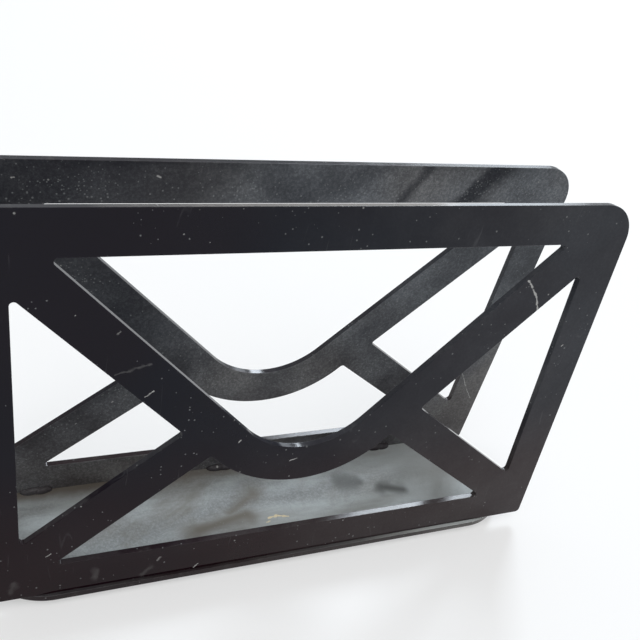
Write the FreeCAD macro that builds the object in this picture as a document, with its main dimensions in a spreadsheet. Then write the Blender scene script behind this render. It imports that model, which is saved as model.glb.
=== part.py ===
"""Envelope-shaped letter sorter: two cut-out steel panels welded to a floor plate on rubber feet.

Frame, in millimetres: X runs along the sorter, -Y is the front, +Z is up. The origin is on the
surface that the sorter stands on, below the middle of the floor plate.
"""
import FreeCAD
import Part
import Sketcher
import math
import os

# Driving dimensions, one spreadsheet row each: alias, value, what it measures.
SIZES = [
    ("panel_length", 180.0, "length of a panel"),
    ("panel_height", 115.0, "height of a panel, measured along its face"),
    ("sheet_thickness", 2.0, "steel sheet of the panels"),
    ("border_width", 11.6, "top and side bars of a panel"),
    ("sill_width", 10.8, "bottom bar of a panel"),
    ("flap_width", 12.0, "V-shaped band of the envelope's flap"),
    ("flap_point_height", 23.2, "where the flap band's centre lines would cross, above the panel's foot"),
    ("flap_bend_radius", 30.5, "centre-line radius that rounds the flap's point"),
    ("seam_width", 11.8, "slanting bands of the envelope's lower seams"),
    ("seam_foot_height", 3.3, "height of a seam's centre line at the panel's side"),
    ("seam_peak_height", 71.3, "where the seams' centre lines would cross, above the panel's foot"),
    ("top_corner_radius", 10.5, "outer top corners of a panel"),
    ("foot_corner_radius", 1.5, "outer bottom corners of a panel"),
    ("opening_corner_radius", 1.0, "corners of the cut-outs"),
    ("panel_edge_bevel", 0.3, "eased edges of the panels"),
    ("panel_lean", 3.5, "inward lean of each panel, in degrees"),
    ("panel_setback", 0.9, "floor plate's edge to the outer face of a panel"),
    ("floor_length", 178.0, "length of the floor plate"),
    ("floor_depth", 44.0, "depth of the floor plate"),
    ("floor_thickness", 2.0, "steel sheet of the floor plate"),
    ("floor_end_flat", 4.0, "straight stretch of the floor plate's ends, between its corner radii"),
    ("floor_edge_bevel", 0.4, "eased edges of the floor plate"),
    ("weld_leg", 2.8, "reach of a tack weld up the panel and along the floor plate"),
    ("weld_length", 10.4, "length of a tack weld along the corner line"),
    ("weld_run_out", 2.6, "length of each sloping end of a tack weld"),
    ("weld_offset", 9.0, "middle tack weld to the left of the panel's middle"),
    ("weld_inset", 28.0, "half a panel's length less the distance between its tack welds"),
    ("pad_diameter", 10.0, "rubber foot where it meets its adhesive disc"),
    ("pad_tip_diameter", 8.6, "rubber foot where it meets the table"),
    ("pad_height", 2.0, "rubber foot without its adhesive disc"),
    ("pad_edge_bevel", 0.4, "eased lower rim of a rubber foot"),
    ("pad_inset_long", 21.0, "floor plate's end to the middle of a foot"),
    ("pad_inset_deep", 9.0, "floor plate's long edge to the middle of a foot"),
    ("adhesive_diameter", 9.0, "adhesive disc on top of a rubber foot"),
    ("adhesive_thickness", 0.2, "adhesive disc on top of a rubber foot"),
]

# Sketcher's numbers for the points of an edge, the two axes, and the point where they start.
START, END, CENTRE = range(1, 4)
HORIZONTAL_AXIS, VERTICAL_AXIS = range(-1, -3, -1)
ORIGIN = (HORIZONTAL_AXIS, START)

FLOOR_BOTTOM = "Sizes.pad_height + Sizes.adhesive_thickness"
FLOOR_TOP = FLOOR_BOTTOM + " + Sizes.floor_thickness"
PANEL_OFFSET = "(Sizes.floor_depth / 2 - Sizes.panel_setback)"
PANEL_FOOT_LIFT = "Sizes.sheet_thickness * sin(Sizes.panel_lean * 1 deg)"
PANEL_FOOT_DEPTH = "Sizes.sheet_thickness * cos(Sizes.panel_lean * 1 deg)"

# Where a band ends inside the panel's border: on the middle lines of its top and side bars.
BORDER_MIDDLE_ACROSS = "Sizes.panel_length / 2 - Sizes.border_width / 2"
BORDER_MIDDLE_UP = "Sizes.panel_height - Sizes.border_width / 2"

# The sign of Y on each long side, and the sign of X at each end.
SIDES = {"front": -1, "back": 1}
ENDS = {"left": -1, "right": 1}

document = FreeCAD.newDocument("envelope_sorter")


def fill_sheet():
    """Write every driving dimension into the spreadsheet and give its cell an alias."""
    sheet = document.addObject("Spreadsheet::Sheet", "Sizes")
    for row, (alias, value, meaning) in enumerate(SIZES, start=1):
        sheet.set(f"A{row}", alias)
        sheet.set(f"B{row}", str(value))
        sheet.set(f"C{row}", meaning)
        sheet.setAlias(f"B{row}", alias)
    document.recompute()
    return sheet


def number(expression):
    """Work out an expression on the sheet as a plain number."""
    result = sheet.evalExpression(expression)
    return float(getattr(result, "Value", result))


def origin_feature(body, role):
    """Find a plane or axis of a body's own origin by its role."""
    for feature in body.Origin.OriginFeatures:
        if feature.Role == role:
            return feature
    raise LookupError(role)


def new_body(name):
    """Start a sub-part whose label names its file."""
    body = document.addObject("PartDesign::Body", name)
    body.Label = name
    return body


def new_sketch(body, name, role):
    """Attach an empty sketch to one of the body's origin planes."""
    sketch = body.newObject("Sketcher::SketchObject", name)
    sketch.AttachmentSupport = [(origin_feature(body, role), "")]
    sketch.MapMode = "FlatFace"
    return sketch


def constrain(sketch, kind, *references, size=None):
    """Add one constraint, driven by an expression on the sheet where it has a size."""
    if size is None:
        sketch.addConstraint(Sketcher.Constraint(kind, *references))
        return
    index = sketch.addConstraint(Sketcher.Constraint(kind, *references, number(size)))
    sketch.setExpression(f"Constraints[{index}]", size)


def place_point(sketch, edge, point, across=None, up=None):
    """Hold a point at its distance from the sketch's origin, across and up."""
    if across is not None:
        constrain(sketch, "DistanceX", *ORIGIN, edge, point, size=across)
    if up is not None:
        constrain(sketch, "DistanceY", *ORIGIN, edge, point, size=up)


def line(sketch, start, end, construction=False):
    """Draw a straight edge between two points given as (across, up)."""
    segment = Part.LineSegment(FreeCAD.Vector(*start, 0), FreeCAD.Vector(*end, 0))
    return sketch.addGeometry(segment, construction)


def arc(sketch, centre, radius, first, last):
    """Draw an arc about (across, up) from one angle to the other, in radians."""
    circle = Part.Circle(FreeCAD.Vector(*centre, 0), FreeCAD.Vector(0, 0, 1), radius)
    return sketch.addGeometry(Part.ArcOfCircle(circle, first, last), False)


def join_in_a_loop(sketch, edges):
    """Tie the end of each edge to the start of the next."""
    for edge, following in zip(edges, edges[1:] + edges[:1]):
        constrain(sketch, "Coincident", edge, END, following, START)


def rectangle(sketch, left, right, bottom, top):
    """Draw a rectangle with its sides across and up, and return its four edges."""
    corners = [(left, bottom), (right, bottom), (right, top), (left, top)]
    edges = [line(sketch, *pair) for pair in zip(corners, corners[1:] + corners[:1])]
    join_in_a_loop(sketch, edges)
    constrain(sketch, "Vertical", edges[1])
    constrain(sketch, "Vertical", edges[3])
    return edges


def centred_rectangle(sketch, width, height):
    """Draw a rectangle about the origin, its width and height given as expressions."""
    half_width = number(width) / 2
    half_height = number(height) / 2
    edges = rectangle(sketch, -half_width, half_width, -half_height, half_height)
    constrain(sketch, "Horizontal", edges[2])
    constrain(sketch, "Symmetric", edges[0], START, edges[2], START, *ORIGIN)
    constrain(sketch, "DistanceX", edges[0], START, edges[0], END, size=width)
    constrain(sketch, "DistanceY", edges[1], START, edges[1], END, size=height)


def skeleton_line(sketch, side_height, middle_height):
    """Draw a band's centre line from the panel's right side down or up to its middle."""
    side = (number("Sizes.panel_length / 2"), number(side_height))
    middle = (0, number(middle_height))
    edge = line(sketch, side, middle, construction=True)
    place_point(sketch, edge, START, across="Sizes.panel_length / 2", up=side_height)
    constrain(sketch, "PointOnObject", edge, END, VERTICAL_AXIS)
    place_point(sketch, edge, END, up=middle_height)
    return edge


def pad(body, sketch, name, length, reverse):
    """Raise a sketch into a plate of the given thickness."""
    feature = body.newObject("PartDesign::Pad", name)
    feature.Profile = sketch
    feature.Reversed = reverse
    feature.setExpression("Length", length)
    return feature


def edge_names(feature, wanted):
    """Name the edges of a feature that pass a test."""
    edges = enumerate(feature.Shape.Edges, start=1)
    return [f"Edge{index}" for index, edge in edges if wanted(edge)]


def round_edges(body, base, name, names, radius):
    """Round the named edges of a feature."""
    feature = body.newObject("PartDesign::Fillet", name)
    feature.Base = (base, names)
    feature.setExpression("Radius", radius)
    document.recompute()
    return feature


def bevel_edges(body, base, name, names, size):
    """Take the sharpness off the named edges of a feature with a narrow bevel."""
    feature = body.newObject("PartDesign::Chamfer", name)
    feature.Base = (base, names)
    feature.setExpression("Size", size)
    document.recompute()
    return feature


def band_direction(side_height, middle_height):
    """Give the unit vector, as (across, up), along a centre line towards the panel's side."""
    across = number("Sizes.panel_length / 2")
    up = number(side_height) - number(middle_height)
    length = math.hypot(across, up)
    return across / length, up / length


def draw_outline(body):
    """Sketch the panel's outline, standing on the horizontal axis."""
    sketch = new_sketch(body, "outline", "XZ_Plane")
    half_length = number("Sizes.panel_length / 2")
    edges = rectangle(sketch, -half_length, half_length, 0, number("Sizes.panel_height"))
    constrain(sketch, "Symmetric", edges[0], START, edges[0], END, VERTICAL_AXIS)
    constrain(sketch, "PointOnObject", edges[0], START, HORIZONTAL_AXIS)
    constrain(sketch, "Horizontal", edges[2])
    constrain(sketch, "DistanceX", edges[0], START, edges[0], END, size="Sizes.panel_length")
    constrain(sketch, "DistanceY", edges[1], START, edges[1], END, size="Sizes.panel_height")
    return sketch


def draw_window(body):
    """Sketch the space inside the panel's border, which the bands then cross."""
    sketch = new_sketch(body, "window", "XZ_Plane")
    half_width = number("Sizes.panel_length / 2 - Sizes.border_width")
    top = number("Sizes.panel_height - Sizes.border_width")
    edges = rectangle(sketch, -half_width, half_width, number("Sizes.sill_width"), top)
    constrain(sketch, "Symmetric", edges[0], START, edges[0], END, VERTICAL_AXIS)
    constrain(sketch, "Horizontal", edges[2])
    width = "Sizes.panel_length - 2 * Sizes.border_width"
    constrain(sketch, "DistanceX", edges[0], START, edges[0], END, size=width)
    place_point(sketch, edges[0], START, up="Sizes.sill_width")
    place_point(sketch, edges[2], START, up="Sizes.panel_height - Sizes.border_width")
    return sketch


def draw_half_flap(body):
    """Sketch the right half of the flap: a band rounded at its point by two arcs on one centre."""
    sketch = new_sketch(body, "half_flap", "XZ_Plane")
    axis = skeleton_line(sketch, "Sizes.panel_height", "Sizes.flap_point_height")
    along = band_direction("Sizes.panel_height", "Sizes.flap_point_height")
    bend = number("Sizes.flap_bend_radius")
    half_width = number("Sizes.flap_width / 2")
    centre = (0, number("Sizes.flap_point_height") + bend / along[0])
    first = -math.pi / 2
    last = math.atan2(-along[0], along[1])
    corner = (number(BORDER_MIDDLE_ACROSS), number(BORDER_MIDDLE_UP))

    def tangent_point(radius):
        return centre[0] + radius * along[1], centre[1] - radius * along[0]

    inner_tangent = tangent_point(bend - half_width)
    outer_tangent = tangent_point(bend + half_width)
    inner_reach = (corner[1] - inner_tangent[1]) / along[1]
    outer_reach = (corner[0] - outer_tangent[0]) / along[0]
    inner_end = (inner_tangent[0] + inner_reach * along[0], corner[1])
    outer_end = (corner[0], outer_tangent[1] + outer_reach * along[1])
    inner_arc = arc(sketch, centre, bend - half_width, first, last)
    inner_edge = line(sketch, inner_tangent, inner_end)
    top_end = line(sketch, inner_end, corner)
    side_end = line(sketch, corner, outer_end)
    outer_edge = line(sketch, outer_end, outer_tangent)
    outer_arc = arc(sketch, centre, bend + half_width, first, last)
    inner_low = (0, centre[1] - bend + half_width)
    outer_low = (0, centre[1] - bend - half_width)
    middle_edge = line(sketch, outer_low, inner_low)
    constrain(sketch, "PointOnObject", inner_arc, CENTRE, VERTICAL_AXIS)
    constrain(sketch, "Coincident", outer_arc, CENTRE, inner_arc, CENTRE)
    constrain(sketch, "PointOnObject", inner_arc, START, VERTICAL_AXIS)
    constrain(sketch, "PointOnObject", outer_arc, START, VERTICAL_AXIS)
    constrain(sketch, "Tangent", inner_arc, END, inner_edge, START)
    constrain(sketch, "Tangent", outer_arc, END, outer_edge, END)
    constrain(sketch, "Coincident", inner_edge, END, top_end, START)
    constrain(sketch, "Coincident", top_end, END, side_end, START)
    constrain(sketch, "Coincident", side_end, END, outer_edge, START)
    constrain(sketch, "Coincident", middle_edge, START, outer_arc, START)
    constrain(sketch, "Coincident", middle_edge, END, inner_arc, START)
    constrain(sketch, "Parallel", inner_edge, axis)
    constrain(sketch, "Parallel", outer_edge, axis)
    constrain(sketch, "Horizontal", top_end)
    constrain(sketch, "Vertical", side_end)
    constrain(sketch, "Distance", inner_edge, END, axis, size="Sizes.flap_width / 2")
    constrain(sketch, "Radius", inner_arc, size="Sizes.flap_bend_radius - Sizes.flap_width / 2")
    constrain(sketch, "Radius", outer_arc, size="Sizes.flap_bend_radius + Sizes.flap_width / 2")
    place_point(sketch, top_end, END, across=BORDER_MIDDLE_ACROSS, up=BORDER_MIDDLE_UP)
    return sketch


def draw_seam(body):
    """Sketch the right seam: a straight band from the panel's bottom corner into the flap."""
    sketch = new_sketch(body, "seam", "XZ_Plane")
    axis = skeleton_line(sketch, "Sizes.seam_foot_height", "Sizes.seam_peak_height")
    flap_axis = skeleton_line(sketch, "Sizes.panel_height", "Sizes.flap_point_height")
    along = band_direction("Sizes.seam_foot_height", "Sizes.seam_peak_height")
    half_width = number("Sizes.seam_width / 2")
    offset = (along[1] * half_width, along[0] * half_width)
    flap_slope = number("(Sizes.panel_height - Sizes.flap_point_height) / (Sizes.panel_length / 2)")
    seam_slope = number("(Sizes.seam_peak_height - Sizes.seam_foot_height) / (Sizes.panel_length / 2)")
    gap = number("Sizes.seam_peak_height - Sizes.flap_point_height")
    crossing_across = gap / (flap_slope + seam_slope)
    crossing = (crossing_across, number("Sizes.flap_point_height") + flap_slope * crossing_across)
    corner = (number(BORDER_MIDDLE_ACROSS), number("Sizes.sill_width / 2"))
    upper_end = (crossing[0] - offset[0], crossing[1] + offset[1])
    lower_end = (crossing[0] + offset[0], crossing[1] - offset[1])
    side_point = (corner[0], upper_end[1] - (corner[0] - upper_end[0]) * seam_slope)
    sill_point = (lower_end[0] + (lower_end[1] - corner[1]) / seam_slope, corner[1])
    points = [sill_point, corner, side_point, upper_end, lower_end]
    edges = [line(sketch, *pair) for pair in zip(points, points[1:] + points[:1])]
    sill_end, side_end, upper_edge, flap_end, lower_edge = edges
    join_in_a_loop(sketch, edges)
    meeting = sketch.addGeometry(Part.Point(FreeCAD.Vector(*crossing, 0)), True)
    constrain(sketch, "Horizontal", sill_end)
    constrain(sketch, "Vertical", side_end)
    constrain(sketch, "Parallel", upper_edge, axis)
    constrain(sketch, "Parallel", lower_edge, axis)
    constrain(sketch, "Perpendicular", flap_end, axis)
    constrain(sketch, "Distance", flap_end, START, axis, size="Sizes.seam_width / 2")
    constrain(sketch, "Distance", flap_end, END, axis, size="Sizes.seam_width / 2")
    constrain(sketch, "PointOnObject", meeting, START, axis)
    constrain(sketch, "PointOnObject", meeting, START, flap_axis)
    constrain(sketch, "PointOnObject", meeting, START, flap_end)
    place_point(sketch, sill_end, END, across=BORDER_MIDDLE_ACROSS, up="Sizes.sill_width / 2")
    return sketch


def runs_through_sheet(edge):
    """Tell whether an edge crosses the sheet from one face to the other."""
    box = edge.BoundBox
    return box.YLength > box.XLength + box.ZLength


def turns_a_corner(shape, edge):
    """Tell whether the two faces beside an edge meet at an angle, not smoothly."""
    middle = edge.valueAt((edge.FirstParameter + edge.LastParameter) / 2)
    normals = []
    for face in shape.ancestorsOfType(edge, Part.Face):
        normals.append(face.normalAt(*face.Surface.parameter(middle)))
    return normals[0].getAngle(normals[1]) > math.radians(5)


def corner_edges(feature, near_top=None):
    """Name the sheet's outer corner edges, at the top or the foot, or those of the cut-outs."""
    shape = feature.Shape
    box = shape.BoundBox
    reach = number("Sizes.border_width / 2")

    def wanted(edge):
        if not runs_through_sheet(edge):
            return False
        spot = edge.CenterOfMass
        beside = min(spot.x - box.XMin, box.XMax - spot.x) < reach
        top = box.ZMax - spot.z < reach
        foot = spot.z - box.ZMin < reach
        if near_top is None:
            return not (beside and (top or foot)) and turns_a_corner(shape, edge)
        return beside and (top if near_top else foot)

    return edge_names(feature, wanted)


def face_edges(feature):
    """Name the edges that lie in one of the sheet's two faces."""
    return edge_names(feature, lambda edge: edge.BoundBox.YLength < number("Sizes.panel_edge_bevel"))


def make_panel(side_name):
    """Cut one panel from sheet: border, flap and seams, then its rounded corners and edges."""
    side = SIDES[side_name]
    body = new_body(f"{side_name}_panel")
    reverse = side < 0
    plate = pad(body, draw_outline(body), "plate", "Sizes.sheet_thickness", reverse)
    window = body.newObject("PartDesign::Pocket", "window_cut")
    window.Profile = draw_window(body)
    window.Reversed = not reverse
    window.Type = "Length"
    window.setExpression("Length", "Sizes.sheet_thickness")
    flap = pad(body, draw_half_flap(body), "flap_band", "Sizes.sheet_thickness", reverse)
    seam = pad(body, draw_seam(body), "seam_band", "Sizes.sheet_thickness", reverse)
    document.recompute()
    mirrored = body.newObject("PartDesign::Mirrored", "other_half")
    mirrored.Originals = [flap, seam]
    mirrored.MirrorPlane = (origin_feature(body, "YZ_Plane"), [""])
    body.Tip = mirrored
    document.recompute()
    top = round_edges(body, mirrored, "top_corners", corner_edges(mirrored, True),
                      "Sizes.top_corner_radius")
    foot = round_edges(body, top, "foot_corners", corner_edges(top, False),
                       "Sizes.foot_corner_radius")
    openings = round_edges(body, foot, "opening_corners", corner_edges(foot),
                           "Sizes.opening_corner_radius")
    bevel_edges(body, openings, "eased_edges", face_edges(openings), "Sizes.panel_edge_bevel")
    body.Placement = FreeCAD.Placement(
        FreeCAD.Vector(), FreeCAD.Rotation(FreeCAD.Vector(side, 0, 0), number("Sizes.panel_lean")))
    body.setExpression(".Placement.Rotation.Angle", "Sizes.panel_lean * 1 deg")
    body.setExpression(".Placement.Base.y", f"{side} * {PANEL_OFFSET}")
    body.setExpression(".Placement.Base.z", f"{FLOOR_TOP} + {PANEL_FOOT_LIFT}")
    return body


def make_floor():
    """Make the floor plate, with its four large corner radii and eased edges."""
    body = new_body("floor_plate")
    sketch = new_sketch(body, "floor_outline", "XY_Plane")
    centred_rectangle(sketch, "Sizes.floor_length", "Sizes.floor_depth")
    plate = pad(body, sketch, "floor_sheet", "Sizes.floor_thickness", False)
    document.recompute()
    upright = edge_names(plate, lambda edge: edge.BoundBox.ZLength > edge.BoundBox.XLength
                         and edge.BoundBox.ZLength > edge.BoundBox.YLength)
    corner_radius = "(Sizes.floor_depth - Sizes.floor_end_flat) / 2"
    corners = round_edges(body, plate, "floor_corners", upright, corner_radius)
    rims = edge_names(corners, lambda edge: edge.BoundBox.ZLength < number("Sizes.floor_edge_bevel"))
    bevel_edges(body, corners, "floor_rims", rims, "Sizes.floor_edge_bevel")
    body.setExpression(".Placement.Base.z", FLOOR_BOTTOM)
    return body


def draw_weld_profile(body):
    """Sketch half of a tack weld's outline: a low mound with sloping ends on the corner line."""
    sketch = new_sketch(body, "mound", "XY_Plane")
    half_length = number("Sizes.weld_length / 2")
    shoulder = number("Sizes.weld_length / 2 - Sizes.weld_run_out")
    leg = number("Sizes.weld_leg")
    corners = [(-half_length, 0), (half_length, 0), (shoulder, leg), (-shoulder, leg)]
    edges = [line(sketch, *pair) for pair in zip(corners, corners[1:] + corners[:1])]
    join_in_a_loop(sketch, edges)
    constrain(sketch, "Symmetric", edges[0], START, edges[0], END, *ORIGIN)
    constrain(sketch, "Horizontal", edges[0])
    constrain(sketch, "Horizontal", edges[2])
    constrain(sketch, "Equal", edges[1], edges[3])
    constrain(sketch, "DistanceX", edges[0], START, edges[0], END, size="Sizes.weld_length")
    constrain(sketch, "DistanceX", edges[1], END, edges[1], START, size="Sizes.weld_run_out")
    place_point(sketch, edges[1], END, up="Sizes.weld_leg")
    return sketch


def make_weld(side_name, place_name, steps):
    """Make a tack weld in the inner corner of floor and panel, by turning its profile there."""
    side = SIDES[side_name]
    body = new_body(f"{side_name}_weld_{place_name}")
    bead = body.newObject("PartDesign::Revolution", "bead")
    bead.Profile = draw_weld_profile(body)
    bead.ReferenceAxis = (origin_feature(body, "X_Axis"), [""])
    bead.setExpression("Angle", "90 - Sizes.panel_lean")
    bead.Reversed = side > 0
    turn = 0 if side < 0 else 180
    body.Placement = FreeCAD.Placement(
        FreeCAD.Vector(), FreeCAD.Rotation(FreeCAD.Vector(1, 0, 0), turn))
    weld_pitch = "(Sizes.panel_length / 2 - Sizes.weld_inset)"
    body.setExpression(".Placement.Base.x", f"{steps} * {weld_pitch} - Sizes.weld_offset")
    body.setExpression(".Placement.Base.y", f"{side} * ({PANEL_OFFSET} - {PANEL_FOOT_DEPTH})")
    body.setExpression(".Placement.Base.z", FLOOR_TOP)
    return body


def make_foot(side_name, end_name):
    """Turn a rubber foot that narrows towards its eased lower rim."""
    body = new_body(f"{side_name}_{end_name}_foot")
    sketch = new_sketch(body, "foot_profile", "XZ_Plane")
    tip = number("Sizes.pad_tip_diameter / 2")
    base = number("Sizes.pad_diameter / 2")
    height = number("Sizes.pad_height")
    corners = [(0, 0), (tip, 0), (base, height), (0, height)]
    edges = [line(sketch, *pair) for pair in zip(corners, corners[1:] + corners[:1])]
    join_in_a_loop(sketch, edges)
    constrain(sketch, "Coincident", edges[0], START, *ORIGIN)
    constrain(sketch, "Horizontal", edges[0])
    constrain(sketch, "Horizontal", edges[2])
    constrain(sketch, "Vertical", edges[3])
    place_point(sketch, edges[0], END, across="Sizes.pad_tip_diameter / 2")
    place_point(sketch, edges[1], END, across="Sizes.pad_diameter / 2", up="Sizes.pad_height")
    turned = body.newObject("PartDesign::Revolution", "turned_foot")
    turned.Profile = sketch
    turned.ReferenceAxis = (origin_feature(body, "Z_Axis"), [""])
    document.recompute()
    low = number("Sizes.pad_edge_bevel")
    rim = edge_names(turned, lambda edge: edge.BoundBox.ZMax < low and len(edge.Vertexes) == 1)
    bevel_edges(body, turned, "foot_rim", rim, "Sizes.pad_edge_bevel")
    place_foot_piece(body, side_name, end_name)
    return body


def place_foot_piece(piece, side_name, end_name):
    """Put a piece of a foot below its corner of the floor plate."""
    across = "(Sizes.floor_length / 2 - Sizes.pad_inset_long)"
    deep = "(Sizes.floor_depth / 2 - Sizes.pad_inset_deep)"
    piece.setExpression(".Placement.Base.x", f"{ENDS[end_name]} * {across}")
    piece.setExpression(".Placement.Base.y", f"{SIDES[side_name]} * {deep}")


def make_adhesive(side_name, end_name):
    """Make the adhesive disc between a rubber foot and the floor plate."""
    name = f"{side_name}_{end_name}_adhesive"
    disc = document.addObject("Part::Cylinder", name)
    disc.Label = name
    disc.setExpression("Radius", "Sizes.adhesive_diameter / 2")
    disc.setExpression("Height", "Sizes.adhesive_thickness")
    place_foot_piece(disc, side_name, end_name)
    disc.setExpression(".Placement.Base.z", "Sizes.pad_height")
    return disc


def check(parts):
    """Stop if any object failed, or a sub-part is not one valid solid."""
    document.recompute()
    for thing in document.Objects:
        if "Invalid" in thing.State or "Error" in thing.State:
            raise RuntimeError(f"{thing.Name} failed: {thing.State}")
    for part in parts:
        shape = part.Shape
        if shape.isNull() or not shape.isValid() or len(shape.Solids) != 1:
            raise RuntimeError(f"{part.Label} is not one valid solid")


sheet = fill_sheet()
parts = [make_floor()]
for side_name in SIDES:
    parts.append(make_panel(side_name))
    for steps, place_name in enumerate(["left", "middle", "right"], start=-1):
        parts.append(make_weld(side_name, place_name, steps))
    for end_name in ENDS:
        parts.append(make_foot(side_name, end_name))
        parts.append(make_adhesive(side_name, end_name))
check(parts)

os.makedirs("parts", exist_ok=True)
for part in parts:
    part.Shape.exportStep(f"parts/{part.Label}.step")
    print(f"{part.Label}: {part.Shape.Volume:.1f} mm3")
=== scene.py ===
"""Looks of the envelope sorter: two cut-out sheet panels welded to a floor plate on rubber feet.

Lengths are in millimetres until a mesh is placed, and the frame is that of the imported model:
X along the sorter, -Y the front, +Z up, the origin on the table below the floor plate's middle.
"""
import math

import bpy
import numpy as np
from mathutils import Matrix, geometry


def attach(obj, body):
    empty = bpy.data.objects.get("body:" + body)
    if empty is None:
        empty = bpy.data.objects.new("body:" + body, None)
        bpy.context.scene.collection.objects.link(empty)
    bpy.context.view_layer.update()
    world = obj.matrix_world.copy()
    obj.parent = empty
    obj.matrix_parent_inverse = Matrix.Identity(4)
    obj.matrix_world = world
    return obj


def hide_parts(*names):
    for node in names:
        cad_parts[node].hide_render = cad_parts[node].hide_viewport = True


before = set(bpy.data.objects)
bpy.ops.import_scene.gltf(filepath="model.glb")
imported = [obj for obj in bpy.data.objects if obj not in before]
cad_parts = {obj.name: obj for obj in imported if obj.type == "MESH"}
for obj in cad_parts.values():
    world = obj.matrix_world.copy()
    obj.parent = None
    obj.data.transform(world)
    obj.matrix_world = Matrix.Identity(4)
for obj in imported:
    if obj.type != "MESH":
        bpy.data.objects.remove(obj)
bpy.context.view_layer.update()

MM = 0.001
SIDES = {"front": -1, "back": 1}

# The panels' outline and bands.
HALF_LENGTH, HEIGHT, SHEET = 90.0, 115.0, 2.0
BORDER, SILL = 11.6, 10.8
FLAP_WIDTH, FLAP_POINT, FLAP_BEND = 12.0, 23.2, 30.5
SEAM_WIDTH, SEAM_FOOT, SEAM_PEAK = 11.8, 3.3, 71.3
TOP_RADIUS, FOOT_RADIUS, OPENING_RADIUS = 10.5, 1.5, 1.0
LEAN = math.radians(3.5)
PANEL_OFFSET = 21.1

# The floor plate.
FLOOR_HALF_LENGTH, FLOOR_HALF_DEPTH, FLOOR_RADIUS, FLOOR_TOP = 89.0, 22.0, 20.0, 4.2

# How a cut sheet's edge rolls over: how far along the face and how deep, and the border strip
# that the rim mask covers.
ROLL_REACH, ROLL_DEPTH, RIM = 0.17, 0.15, 1.3

# The tack welds: where their middles are, how far one reaches from the corner line, its length,
# how many frozen drops it has, and how far its back edge lies inside the sheets.
WELD_STEPS = {"left": -71.0, "middle": -9.0, "right": 53.0}
WELD_LEG, WELD_LENGTH, WELD_DROPS, WELD_SINK = 2.3, 10.2, 2.3, 0.02

# A weld's surface: how much of its leg it fills, and the heights of its body, drops, crown and
# wobble, which add up; how blunt its ends are and how small they become, how far the drops' crests
# lag behind at the toes, how round a drop is, and how the wobble waves. Then its grid's rows and
# columns, and the number that the seeds start from.
WELD_FILL, WELD_BODY, DROP_HEIGHT, CROWN_HEIGHT, WOBBLE_HEIGHT = 0.8, 0.86, 0.15, 0.08, 0.06
WELD_BLUNTNESS, WELD_END, CREST_LAG, DROP_ROUNDNESS, WOBBLE_WAVES = 3.2, 0.0004, 0.22, 0.8, 3.1
WELD_ROWS, WELD_COLUMNS, FIRST_WELD_SEED = 121, 29, 10

# The colours of paint, dust and wear, and of painted shade, shadows, sheen, glints and reflections,
# as red, green and blue.
# The second black, a purple tint towards the foot, is a painted reflection.
BLACK_ABOVE, PURPLE_PAINTED_REFLECTION = (0.0001, 0.0014, 0.0068), (0.0088, 0.0002, 0.0020)
COOL_DUST, WARM_DUST = (0.185, 0.197, 0.212), (0.196, 0.190, 0.186)
FLOOR_COOL_DUST, FLOOR_WARM_DUST = (0.315, 0.345, 0.355), (0.31, 0.31, 0.295)
# The pale of chips is also that of the welds' painted glints.
HAIR_SCRATCH, WORN_EDGE, CHIP_AND_GLINT = (0.10, 0.10, 0.105), (0.16, 0.155, 0.145), (0.46, 0.455, 0.44)
MOTE, LINT = (0.28, 0.29, 0.29), (0.33, 0.33, 0.32)
PALE_STAIN, BROWN_STAIN = (0.46, 0.50, 0.505), (0.170, 0.160, 0.140)
# The corner's dark is dirt and painted shade, and the second colour is a painted sheen.
CORNER_DIRT_AND_SHADE, RIGHT_PAINTED_SHEEN = (0.120, 0.098, 0.076), (0.47, 0.50, 0.50)
# The first of these is the dark of the floor plate's painted shadows.
PAINTED_SHADOW, EARTH, FIBRE = (0.110, 0.113, 0.110), (0.128, 0.112, 0.090), (0.62, 0.52, 0.34)
RUBBER_DARK, RUBBER_LIGHT = (0.016, 0.016, 0.017), (0.026, 0.025, 0.024)
RUBBER_DUST = (0.15, 0.145, 0.135)
# The last is the painted shade in the foam's hollows.
FOAM, FOAM_YELLOW, FOAM_PIT_SHADE = (0.74, 0.73, 0.69), (0.66, 0.62, 0.52), (0.45, 0.43, 0.38)
TABLE_DIM, TABLE_LIGHT, WHITE = (0.83, 0.83, 0.83), (0.855, 0.855, 0.85), (1.0, 1.0, 1.0)
WINDOW_LIGHT, LOW_LIGHT, CEILING_LIGHT = (0.84, 0.92, 1.0), (1.0, 0.96, 0.90), (1.0, 0.98, 0.95)
SKY = (0.96, 0.98, 1.0)

# How far the height maps reach, in metres, and the paint's index of refraction.
PAINT_RELIEF, RUBBER_RELIEF, FOAM_RELIEF = 0.00002, 0.00003, 0.00004
PAINT_IOR = 1.27

# The dusty mask's limits between a clean and a dusty face, and the limits within which the finish
# then goes from one to the other. The rim mask's limits of a cut edge and of the wear beside it.
DUSTY_LIMITS, TURNOVER = (0.88, 0.99), (0.1, 0.9)
CUT_EDGE, RIM_WEAR = (0.85, 1.0), (0.6, 1.0)

# Where finishes change, in metres, from the place of the first amount to that of the second. Up
# the sorter: the dirty foot and the purple tint, a painted reflection. Along it: the clean faces'
# hazy film, the cut edges' hazy film, at the floor plate's right end a painted highlight, the
# dusty faces' film and the film that gathers at their foot.
FOOT_RUN, PAINTED_REFLECTION_RUN = (0.080, 0.012), (0.062, 0.020)
HAZE_RUN, EDGE_HAZE_AND_HIGHLIGHT_RUN = (-0.055, 0.072), (0.042, 0.068)
FILM_RUN, FOOT_FILM_RUN = (-0.078, 0.005), (-0.050, 0.010)

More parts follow.
